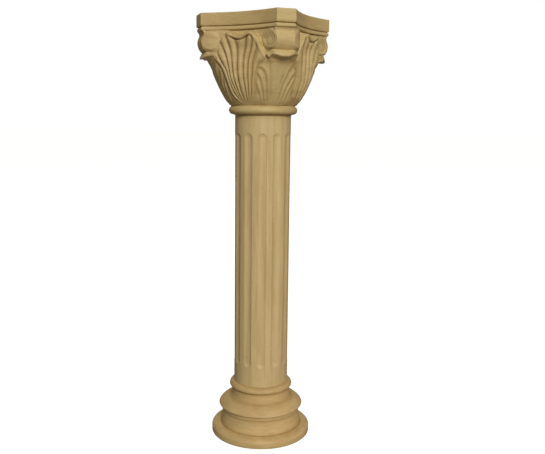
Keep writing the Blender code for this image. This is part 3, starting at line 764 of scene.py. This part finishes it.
def leaf_relief(signed, height, radius, rim, top_gap, wide):
    """Relief and darkening of the wide leaf: rounded ribs, a lip over their top and a raised rim; the darkening is
    grime and painted shade in the grooves and in the cut under the lip.

    The signed degrees are negative to the left of the leaf's middle. The top gap is the distance
    to the leaf's top edge.
    """
    cuts = [-mark for mark in reversed(groove_marks(-1, wide, height))] + groove_marks(1, wide, height)
    side_gap = radius * math.radians(rim - abs(signed))
    if signed < cuts[0]:
        low, high = -rim, cuts[0]
    elif signed >= cuts[-1]:
        low, high = cuts[-1], rim
    else:
        position = max(index for index, cut in enumerate(cuts) if cut <= signed)
        low, high = cuts[position], cuts[position + 1]
    fade = smooth(0.0, 0.035, height - LEAF_FOOT)
    across = min(1.0, abs(2.0 * (signed - low) / (high - low) - 1.0))
    width = radius * math.radians(high - low)
    deep = min(GROOVE_DEPTH * (0.35 + 0.65 * smooth(1.630, 1.700, height)), 0.50 * width) * fade
    ribs = deep * (0.06 + 0.50 * math.cos(math.pi * across**1.45))
    dust_and_shade = RIB_DUST_AND_SHADE * smooth(0.62, 1.0, across) * fade * min(1.0, width / 0.008)
    lip = smooth(-0.004, 0.004, side_gap - top_gap)
    if signed < 0.0:
        rim_band = 1.25 - 1.0 * smooth(1.785, 1.825, height)
        lip_band = 1.0 - 0.65 * smooth(5.0, 11.0, -signed)
        lip_cut = 1.0 - smooth(9.0, 14.0, -signed)
        rim_cut = 0.0
    else:
        rim_band = 0.25 + 0.75 * smooth(1.780, 1.800, height)
        lip_band = 1.0
        lip_cut = 1.0 - 0.85 * smooth(12.0, 16.0, signed)
        rim_cut = 0.12 + 0.33 * smooth(1.790, 1.815, height)
    strength = rim_band + (lip_band - rim_band) * lip
    cut = rim_cut + (lip_cut - rim_cut) * lip
    gap = min(side_gap, top_gap)
    narrow = BAND_WIDTH * (0.35 + 0.65 * smooth(1.62, 1.70, height))
    share = gap / narrow
    band = BAND_PROUD * math.sin(math.pi * min(1.0, 0.16 + 0.62 * share)) * fade
    inside = smooth(0.55, 1.20, share)
    if wide:
        cut *= 0.6
    relief = band * (1.0 - inside) * strength + ribs * (1.0 - (1.0 - inside) * strength)
    # Painted shade in the cut under the lip.
    line = math.exp(-(((share - 1.15) / 0.30) ** 2))
    relief -= LIP_CUT * line * cut * fade
    dust_and_shade = max(dust_and_shade * (1.0 - (1.0 - inside) * strength), 0.8 * line * cut * fade)
    return relief, dust_and_shade


def leaf_surface(side, wide, place, height, top_gap):
    rim = rim_degrees(side, height)
    degrees = leaf_degrees(side, wide, place, height)
    radius = bell_radius(degrees, height)
    relief, dust_and_shade = leaf_relief(side * degrees, height, radius, rim, top_gap, wide)
    return from_polar(degrees, radius + relief, height), dust_and_shade


def line_gap(points, across, height):
    """Distance of (across, height) from a line through (degrees, height) points, in metres."""
    nearest = 1.0
    for (first, low), (second, high) in zip(points, points[1:]):
        x, z = across - first * LOBE_SCALE, height - low
        run, rise = (second - first) * LOBE_SCALE, high - low
        t = min(1.0, max(0.0, (x * run + z * rise) / (run * run + rise * rise)))
        nearest = min(nearest, math.hypot(x - t * run, z - t * rise))
    return nearest


LOBE_SCALE = math.radians(0.232)


def lobe_relief(signed, height):
    """Relief and darkening of the corner leaf's carved lines, grime and painted shade in the cuts; degrees are negative
    left of its middle.
    """
    relief, dust_and_shade = 0.0, 0.0
    for points, rise in LOBE_LINES:
        gap = line_gap(points, signed * LOBE_SCALE, height)
        if gap < 3.0 * LOBE_WIDTH:
            share = math.exp(-((gap / LOBE_WIDTH) ** 2))
            relief += LOBE_STRENGTH * rise * share
            if rise < 0.0:
                dust_and_shade = max(dust_and_shade, 0.35 * math.exp(-((gap / (0.7 * LOBE_WIDTH)) ** 2)))
    return relief, dust_and_shade


def blade_surface(side, wide, s, height):
    """Corner leaf under its tip: sunk beside the wide leaf's rim, carved with lobes, darkened with grime and painted
    shade in the cuts and beside the rim, and with painted shadow below the tip.
    """
    rim = rim_degrees(side, height)
    rise = smooth(1.74, SPLIT, height)
    plain = rim + (45.0 - rim) * s
    reach = bell_radius(45.0, height)
    tip_turn = 45.0 - math.degrees(math.atan2(tip_aside(s), reach))
    degrees = plain + (tip_turn - plain) * rise
    reach = bell_radius(degrees, height)
    edge_gap = reach * math.radians(degrees - rim)
    lobes, dust_and_shade = lobe_relief(side * (degrees - 45.0), height)
    outside = smooth(0.003, 0.013, edge_gap)
    strength = outside * smooth(1.600, 1.622, height) * (1.0 - smooth(1.786, SPLIT, height))
    # Painted shade with grime in the recess beside the rim.
    deep, reach_in, dirt_and_shade = 0.0110, 0.026, 0.85
    if side > 0:
        deep, reach_in, dirt_and_shade = 0.0040, 0.018, 0.25
    elif wide:
        deep, reach_in, dirt_and_shade = 0.0060, 0.022, 0.30
    sunk = deep * (1.0 - smooth(0.002, reach_in, edge_gap)) * smooth(1.605, 1.66, height)
    sunk *= 1.0 - 0.6 * smooth(1.785, SPLIT, height)
    relief = lobes * strength - sunk + 0.0015 * strength
    beside = (1.0 - smooth(0.002, 0.9 * reach_in, edge_gap)) * smooth(1.605, 1.66, height)
    # Grime and painted shade at the leaf's foot; painted shadow below the tip.
    at_foot = 0.25 * (1.0 - smooth(LEAF_FOOT, 1.640, height))
    middle = smooth(0.62, 0.80, s)
    painted_shadow_below_tip = ((0.45 if side > 0 else 0.75) * smooth(0.05, 0.25, s) * (1.0 - middle)) * smooth(SPLIT - 0.030, SPLIT - 0.006, height)
    dust_and_shade = max(dust_and_shade * strength, dirt_and_shade * beside, painted_shadow_below_tip, at_foot)
    return from_polar(degrees, reach + relief, height), dust_and_shade


TIP_HALF_WIDTH = 0.0530
TIP_SIDE_REACH = 0.0745


def tip_aside(s):
    """Distance beside the diagonal of a column on the leaf's tip."""
    if s >= FRONT_START:
        return TIP_HALF_WIDTH * (1.0 - (s - FRONT_START) / (1.0 - FRONT_START))
    return TIP_HALF_WIDTH + (TIP_SIDE_REACH - TIP_HALF_WIDTH) * (1.0 - s / FRONT_START)


def tip_edge(side, s):
    """Reach and height of the tip's scalloped lower edge, which ends higher on the right."""
    aside = tip_aside(s)
    lift = 0.0 if side > 0 else 0.0045 * smooth(0.036, TIP_SIDE_REACH, aside)
    if aside <= TIP_HALF_WIDTH:
        reach = 0.3015 - 0.0215 * (aside / TIP_HALF_WIDTH) ** 2.4
        cusp = math.exp(-(((aside - 0.027) / 0.007) ** 2))
        height = 1.8025 + 0.0100 * smooth(0.016, TIP_HALF_WIDTH, aside) + 0.0016 * cusp + lift
        return reach, height
    t = (aside - TIP_HALF_WIDTH) / (TIP_SIDE_REACH - TIP_HALF_WIDTH)
    dip = math.sin(math.pi * min(1.0, t * 1.2)) if side > 0 else 0.0
    return 0.280 - 0.021 * t**0.8, 1.8125 - 0.0090 * dip - 0.0035 * t + lift


def tip_rows(side, wide, s):
    """(position, darkening) of the rows under, round and over the tip of the corner leaf; the darkening is painted
    shade, strongest in the crease over the tip.
    """
    aside = tip_aside(s)
    (x, y, _), _ = blade_surface(side, wide, s, SPLIT)
    start_reach = (x + y) / math.sqrt(2)
    start_aside = (y - x) / math.sqrt(2)
    edge_reach, edge_height = tip_edge(side, s)
    notch_height = NOTCH if s >= FRONT_START else NOTCH - 0.016 * (1.0 - s / FRONT_START) ** 0.8
    notch_reach = 0.283 if s >= FRONT_START else 0.283 - 0.030 * (1.0 - s / FRONT_START)
    notch_reach = min(notch_reach, edge_reach - 0.004)
    rows = []
    for index in range(1, UNDER_ROWS + 1):
        t = index / (UNDER_ROWS + 0.6)
        hollow_up = 0.0035 * math.sin(math.pi * t**0.8)
        reach = start_reach + (edge_reach - 0.002 - start_reach) * t
        level = SPLIT + (edge_height - SPLIT) * t + hollow_up
        rows.append((beside_diagonal(reach, start_aside + (aside - start_aside) * t, level), 0.0))
    for index in range(EDGE_ROWS):
        angle = math.radians(-70.0 + 70.0 * index)
        reach = edge_reach - 0.0025 + 0.0025 * math.cos(angle)
        rows.append((beside_diagonal(reach, aside, edge_height + 0.0030 + 0.0030 * math.sin(angle)), 0.1))
    top = edge_height + 0.006
    front_aside = min(aside, scroll_half_width(NOTCH) + 0.001) if s >= FRONT_START else aside
    for index in range(1, TIP_FRONT_ROWS + 1):
        t = index / TIP_FRONT_ROWS
        reach = edge_reach + (notch_reach - edge_reach) * t**0.9 + 0.0015 * math.sin(math.pi * t)
        level = top + (notch_height - top) * t
        narrowing = smooth(0.5, 1.0, t)
        rows.append((beside_diagonal(reach, aside + (front_aside - aside) * narrowing, level), 0.8 * smooth(0.8, 1.0, t)))
    return rows


DISC_PLACE = (0.144, 1.877)
DISC_RADIUS = 0.041
DISC_EYE = 0.012
DISC_DEPTH = 0.2385


def scroll_relief(side, across, height):
    """Relief and darkening on the side of the block: a low disc, on the right one with a faint spiral whose groove has
    grime and painted shade.
    """
    x, z = across - DISC_PLACE[0], height - DISC_PLACE[1]
    out = math.hypot(x, z)
    disc = 1.0 - smooth(DISC_RADIUS - 0.004, DISC_RADIUS + 0.002, out)
    turn_share = (math.atan2(z, -x) / math.tau) % 1.0
    groove = 0.0
    for lap in (0, 1):
        line = DISC_RADIUS - 0.010 - (DISC_RADIUS - 0.010 - DISC_EYE) * (turn_share + lap) / 1.6
        if turn_share + lap <= 1.6:
            groove = max(groove, math.exp(-(((out - line) / 0.0034) ** 2)))
    groove *= 1.0 if side > 0 else 0.10
    relief = disc * (0.0055 - 0.0030 * groove)
    return relief, 0.42 * groove * disc


def scroll_half_width(height):
    """The scroll is narrowest where its front bulges most, because its sides are flat."""
    bulge = 0.3045 - along(SCROLL_PROFILE, height)
    return SCROLL_HALF_WIDTH + 0.35 * bulge + SCROLL_FLARE * smooth(1.908, 1.923, height)


def side_surface(side, across, height):
    """The block's side between two scrolls: upright and flat beside them, hollow in its middle."""
    front, half_width = along(SCROLL_PROFILE, height), scroll_half_width(height)
    edge_depth = (front + half_width) / math.sqrt(2)
    half_side = (front - half_width) / math.sqrt(2)
    relief, dust_and_shade = scroll_relief(side, across, height)
    edge = smooth(0.0, 0.009, half_side - across)
    inward = 1.0 - min(1.0, across / half_side)
    hollow = inward * (2.0 - inward) if side > 0 else smooth(0.10, 0.90, inward)
    flat = DISC_DEPTH - 0.0095 * (1.0 - smooth(1.826, 1.846, height))
    depth_here = edge_depth + (flat + relief - edge_depth) * edge - SCROLL_HOLLOW * hollow
    # Painted shade under the abacus.
    dust_and_shade = max(dust_and_shade, 0.6 * smooth(ABACUS_FOOT - 0.004, ABACUS_FOOT, height))
    return (across, depth_here, height), dust_and_shade


def front_surface(s, height):
    """The scroll's front, creased above the leaf's tip and flared under the abacus."""
    share = (s - FRONT_START) / (1.0 - FRONT_START)
    half_width = scroll_half_width(height)
    aside = half_width * (1.0 - share)
    front = along(SCROLL_PROFILE, height)
    channel = 0.0012 * smooth(0.004, 0.010, half_width - aside)
    crease = 0.006 * (1.0 - smooth(NOTCH, NOTCH + 0.003, height))
    # Painted shade in the crease over the tip and under the abacus.
    dust_and_shade = max(0.9 * (1.0 - smooth(NOTCH, NOTCH + 0.004, height)), 0.6 * smooth(ABACUS_FOOT - 0.003, ABACUS_FOOT, height))
    return beside_diagonal(front - channel - crease, aside, height), dust_and_shade


def abacus_surface(place, inset, height):
    """Point on the abacus outline: 0 to 1 across half a concave side, 1 to 2 along the cut."""
    reach = (ABACUS_CORNER + ABACUS_CUT) / math.sqrt(2)
    half_side = (ABACUS_CORNER - ABACUS_CUT) / math.sqrt(2)
    if place <= 1.0:
        depth_here = reach - ABACUS_HOLLOW * (1.0 - place**2) - inset
        return place * half_side * (1.0 - inset / reach), depth_here, height
    aside = ABACUS_CUT * (1.0 - inset / ABACUS_CORNER) * (2.0 - place)
    return beside_diagonal(ABACUS_CORNER - inset, aside, height)


def top_edge(side, wide, place):
    """Height of the leaf's top edge at a place across the leaf, and how level the edge runs there."""
    widest = rim_degrees(side, COLUMN_TOP)
    height = SPLIT
    for _ in range(5):
        share = leaf_degrees(side, wide, place, height) / widest
        height = along(LEAF_TOP, share)
    before, after = max(0.0, share - 0.02), min(1.0, share + 0.02)
    run = (after - before) * 0.235 * math.radians(widest)
    slope = (along(LEAF_TOP, after) - along(LEAF_TOP, before)) / run
    return height, 1.0 / math.hypot(1.0, slope)


def capital_half_rows(side, wide):
    """Rows of (position, darkening), each from the middle of a face to its corner; the darkening is grime and painted
    shade.
    """
    leaf = [k / (LEAF_COLUMNS - 1) for k in range(LEAF_COLUMNS)]
    sides = [FRONT_START * k / SIDE_COLUMNS for k in range(1, SIDE_COLUMNS)]
    fronts = [FRONT_START + (1.0 - FRONT_START) * k / FRONT_COLUMNS for k in range(FRONT_COLUMNS + 1)]
    count = len(leaf) + len(sides) + len(fronts)
    turns = [45.0 * k / (count - 1) for k in range(count)]
    rows = []

    def round_row(reach, height, dust_and_shade):
        rows.append([(from_polar(degrees, reach, height), dust_and_shade) for degrees in turns])

    # Painted shadow under the neck ring and where it meets the shaft.
    round_row(SHAFT_RADIUS + 0.0004, NECK_FOOT, 0.30)
    round_row(SHAFT_RADIUS + 0.0010, NECK_FOOT + 0.0045, 0.50)
    belly = NECK_BELLY
    for radius_here, height in arc((NECK_CORE, belly), (NECK_RADIUS - NECK_CORE, NECK_RISE), -86.0, 62.0, 8):
        round_row(radius_here, height, (0.45 if height < belly else 0.12) * smooth(0.88, 1.0, abs(height - belly) / NECK_RISE))
    round_row(NECK_CORE + 0.0100, LEAF_FOOT - 0.0034, 0.12)
    top = [top_edge(side, wide, a) for a in leaf]
    for index in range(BELL_ROWS + 1):
        height = LEAF_FOOT + (SPLIT - LEAF_FOOT) * (index / BELL_ROWS) ** 1.05
        row = [leaf_surface(side, wide, a, height, (limit - height) * level) for a, (limit, level) in zip(leaf, top)]
        row += [blade_surface(side, wide, s, height) for s in sides + fronts]
        if index == 0:
            row = [(position, 0.12) for position, _ in row]
        rows.append(row)

    leaf_rows = []
    for index in range(1, UPPER_LEAF_ROWS + 1):
        t = 1.0 - (1.0 - index / UPPER_LEAF_ROWS) ** 1.25
        row = []
        for a, (limit, level) in zip(leaf, top):
            height = SPLIT + (limit - SPLIT) * t
            row.append(leaf_surface(side, wide, a, height, (limit - height) * level))
        leaf_rows.append(row)
    last = [position for position, _ in leaf_rows[-1]]
    for drop, rise in ((0.0008, 0.0020), (0.0028, 0.0034)):
        leaf_rows.append([((x, y - drop, z + rise), 0.0) for x, y, z in last])
    for index in range(1, BACK_ROWS + 1):
        row = []
        for x, y, z in last:
            start = z + 0.0034
            t = (index / BACK_ROWS) ** 1.45
            height = start + (ABACUS_FOOT - start) * t
            (_, side_depth, _), dust_and_shade = side_surface(side, x, height)
            proud = y - 0.0028 - side_surface(side, x, start)[0][1]
            run = min(0.25 * abs(proud) + 0.002, 0.92 * (ABACUS_FOOT - start))
            left_over = proud * (1.0 - smooth(-0.25 * run, run, height - start)) / (1.0 - smooth(-0.25 * run, run, 0.0))
            row.append(((x, side_depth + left_over, height), dust_and_shade * (1.0 - smooth(0.0, 0.004, left_over))))
        leaf_rows.append(row)

    tips = [tip_rows(side, wide, s) for s in sides + fronts]
    tip_count = len(tips[0])
    scroll_count = len(leaf_rows) - tip_count
    for index, leaf_row in enumerate(leaf_rows):
        row = list(leaf_row)
        if index < tip_count:
            row += [tip[index] for tip in tips]
        else:
            climb = (index - tip_count + 1) / scroll_count
            front_height = NOTCH + (ABACUS_FOOT - NOTCH) * climb
            (rim_x, _, rim_z), _ = leaf_row[-1]
            rim_z = max(rim_z, 1.818)
            half_side = (along(SCROLL_PROFILE, front_height) - scroll_half_width(front_height)) / math.sqrt(2)
            for s in sides:
                t = s / FRONT_START
                row.append(side_surface(side, rim_x + (half_side - rim_x) * t, rim_z + (front_height - rim_z) * t))
            row += [front_surface(s, front_height) for s in fronts]
        rows.append(row)

    places = [k / (count - 1 - FRONT_COLUMNS) for k in range(count - FRONT_COLUMNS)]
    places += [1.0 + k / FRONT_COLUMNS for k in range(1, FRONT_COLUMNS + 1)]
    # Painted shade in the moulding's groove and under its bead and band.
    moulding = [(0.0070, ABACUS_FOOT + 0.0002, 0.5)]
    bead_half = (BEAD_TOP - ABACUS_FOOT) / 2
    for outward, height in arc((0.0, ABACUS_FOOT + bead_half), (0.0040, bead_half), -70.0, 70.0, 6):
        moulding.append((0.0060 - outward, height, 0.0))
    moulding += [
        (0.0062, BEAD_TOP - 0.0002, 0.2), (0.0080, BEAD_TOP + 0.0010, 0.5), (0.0080, BAND_FOOT - 0.0010, 0.5),
        (0.0036, BAND_FOOT - 0.0002, 0.2), (0.0014, BAND_FOOT + 0.0004, 0.1), (0.0002, BAND_FOOT + 0.0022, 0.0),
        (0.0, BAND_FOOT + 0.010, 0.0), (0.0, COLUMN_TOP - 0.010, 0.0), (0.0003, COLUMN_TOP - 0.0022, 0.0),
        (0.0012, COLUMN_TOP - 0.0006, 0.0), (0.0030, COLUMN_TOP, 0.0),
    ]
    for inset, height, dust_and_shade in moulding:
        # The sides of the abacus band, not its cut corners, are a little darker.
        band_side_darkening = 0.17 if BAND_FOOT + 0.001 < height < COLUMN_TOP - 0.001 else 0.0
        rows.append([(abacus_surface(place, inset, height), max(dust_and_shade, band_side_darkening if place < 0.999 else 0.0)) for place in places])
    return rows


def carved_capital():
    """The two halves of a face joined, and the face turned to the four sides."""
    vertices, dust_and_shade = [], []
    fine_left, fine_right = capital_half_rows(-1, False), capital_half_rows(1, False)
    wide_left, wide_right = capital_half_rows(-1, True), capital_half_rows(1, True)
    for index in range(len(fine_left)):
        fine = [((-x, y, z), value) for (x, y, z), value in reversed(fine_left[index][1:-1])] + fine_right[index]
        wide = [((-x, y, z), value) for (x, y, z), value in reversed(wide_left[index][1:-1])] + wide_right[index]
        for cosine, sine, face in ((1, 0, fine), (0, 1, wide), (-1, 0, fine), (0, -1, wide)):
            for (x, y, z), value in face:
                vertices.append((x * cosine + y * sine, x * sine - y * cosine, z))
                dust_and_shade.append(value)
    ring = len(vertices) // len(fine_left)
    for index in range(len(vertices)):
        x, y, z = vertices[index]
        uneven = noise.noise((x * 14.0, y * 14.0, z * 14.0)) + 0.5 * noise.noise((x * 45.0, y * 45.0, z * 45.0))
        carved = smooth(LEAF_FOOT, LEAF_FOOT + 0.02, z) * (1.0 - smooth(ABACUS_FOOT - 0.01, ABACUS_FOOT, z))
        factor = 1.0 + 0.0007 * uneven * carved / math.hypot(x, y)
        vertices[index] = (x * factor, y * factor, z)
    faces = []
    for low in range(len(fine_left) - 1):
        for index in range(ring):
            following = (index + 1) % ring
            first_low, first_high = low * ring, (low + 1) * ring
            faces.append((first_low + index, first_low + following, first_high + following, first_high + index))
    faces.append(tuple(reversed(range(ring))))
    faces.append(tuple(range((len(fine_left) - 1) * ring, len(fine_left) * ring)))
    return vertices, faces, dust_and_shade


capital_vertices, capital_faces, capital_dust_and_shade = carved_capital()
capital_marble = honed_marble("capital_marble", CAPITAL_COLOUR, (1.0, 1.0, 4.0), (0.52, 0.38, 0.20))
capital = finished("carved_capital", capital_vertices, capital_faces, capital_dust_and_shade, capital_marble, 50.0)
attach(capital, "root")
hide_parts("capital")
